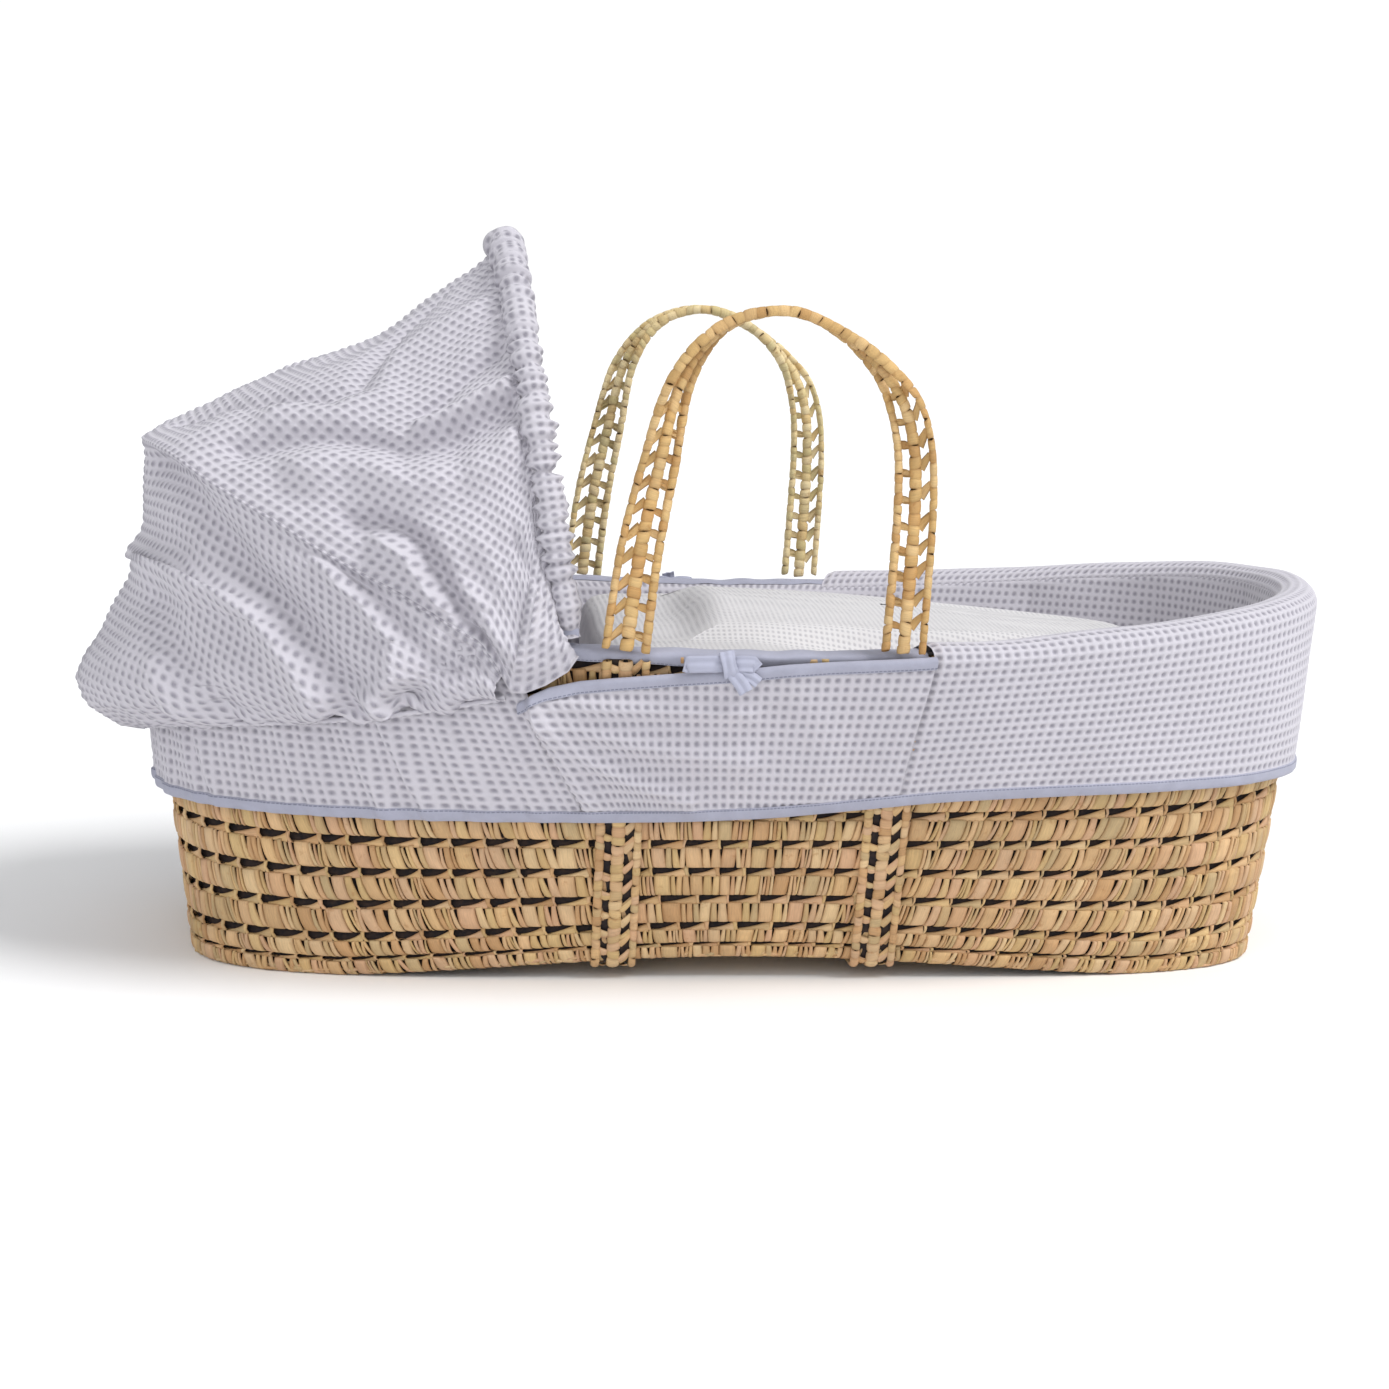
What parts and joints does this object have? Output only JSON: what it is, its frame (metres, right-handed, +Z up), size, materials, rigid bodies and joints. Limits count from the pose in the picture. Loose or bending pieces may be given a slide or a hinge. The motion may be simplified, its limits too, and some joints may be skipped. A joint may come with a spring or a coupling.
{
  "type": "moses basket",
  "caption": "Oval woven palm-leaf baby basket with folding strap handles, padded waffle lining and skirt, mattress, coverlet, and a hood on a folding hoop.",
  "frame": {"origin": "centre of the overall box on the surface that the basket stands on; the woven basket's own centre is 17 mm further towards the foot end, because the hood bulges past the head end", "axes": "+Z up, +X towards the foot end, -Y the front side"},
  "size_m": [0.8919, 0.47, 0.508],
  "materials": {
    "palm_leaf": "dry split palm leaf, matt with a slight sheen",
    "pale_palm_leaf": "paler, greener palm leaf",
    "waffle_cotton": "waffle-weave cotton, lilac grey",
    "coverlet_cotton": "fine waffle-weave cotton, pale grey",
    "binding_tape": "plain cotton binding, grey blue",
    "mattress_cotton": "quilted cotton cover",
    "hoop_plastic": "smooth plastic rod"
  },
  "bodies": {
    "basket": {"woven_floor": "palm_leaf", "wall_row_01": "palm_leaf", "wall_row_02": "palm_leaf", "wall_row_03": "palm_leaf", "wall_row_04": "palm_leaf", "wall_row_05": "palm_leaf", "wall_row_06": "palm_leaf", "wall_row_07": "palm_leaf", "wall_row_08": "palm_leaf", "wall_row_09": "palm_leaf", "wall_row_10": "palm_leaf", "wall_row_11": "palm_leaf", "rim_border": "palm_leaf", "carry_strap_head": "palm_leaf", "carry_strap_foot": "palm_leaf", "liner_wall": "waffle_cotton", "skirt_head": "waffle_cotton", "skirt_foot": "waffle_cotton", "skirt_flap_front": "waffle_cotton", "skirt_flap_rear": "waffle_cotton", "hood_back_panel": "waffle_cotton", "hood_seam_piping": "waffle_cotton", "hood_elastic_hem": "waffle_cotton", "hem_binding": "binding_tape", "slot_binding_front": "binding_tape", "slot_binding_rear": "binding_tape", "liner_binding_front": "binding_tape", "liner_binding_rear": "binding_tape", "bow_front": "binding_tape", "bow_rear": "binding_tape", "hoop_pocket_front": "binding_tape", "hoop_pocket_rear": "binding_tape", "mattress": "mattress_cotton"},
    "hood": {"hood_hoop": "hoop_plastic", "hood_casing": "waffle_cotton", "hood_top_panel": "waffle_cotton"},
    "handle_front": {"handle_front": "palm_leaf"},
    "handle_rear": {"handle_rear": "pale_palm_leaf"},
    "coverlet": {"coverlet": "coverlet_cotton"}
  },
  "joints": [
    {"name": "hood_fold", "type": "hinge", "parent": "basket", "child": "hood", "pos_m": [-0.1101, 0, 0.256], "axis": [0, -1, 0], "range_deg": [0, 55], "deforming": ["hood_top_panel", "hood_back_panel", "hood_seam_piping"]},
    {"name": "handle_front_fold", "type": "hinge", "parent": "basket", "child": "handle_front", "pos_m": [0.0174, -0.2228, 0.241], "axis": [1, 0, 0], "range_deg": [-58, 70]},
    {"name": "handle_rear_fold", "type": "hinge", "parent": "basket", "child": "handle_rear", "pos_m": [0.0174, 0.2228, 0.241], "axis": [-1, 0, 0], "range_deg": [-58, 70]},
    {"name": "coverlet_lift", "type": "slide", "parent": "basket", "child": "coverlet", "axis": [0, 0, 1], "range_m": [0, 0.45]}
  ]
}
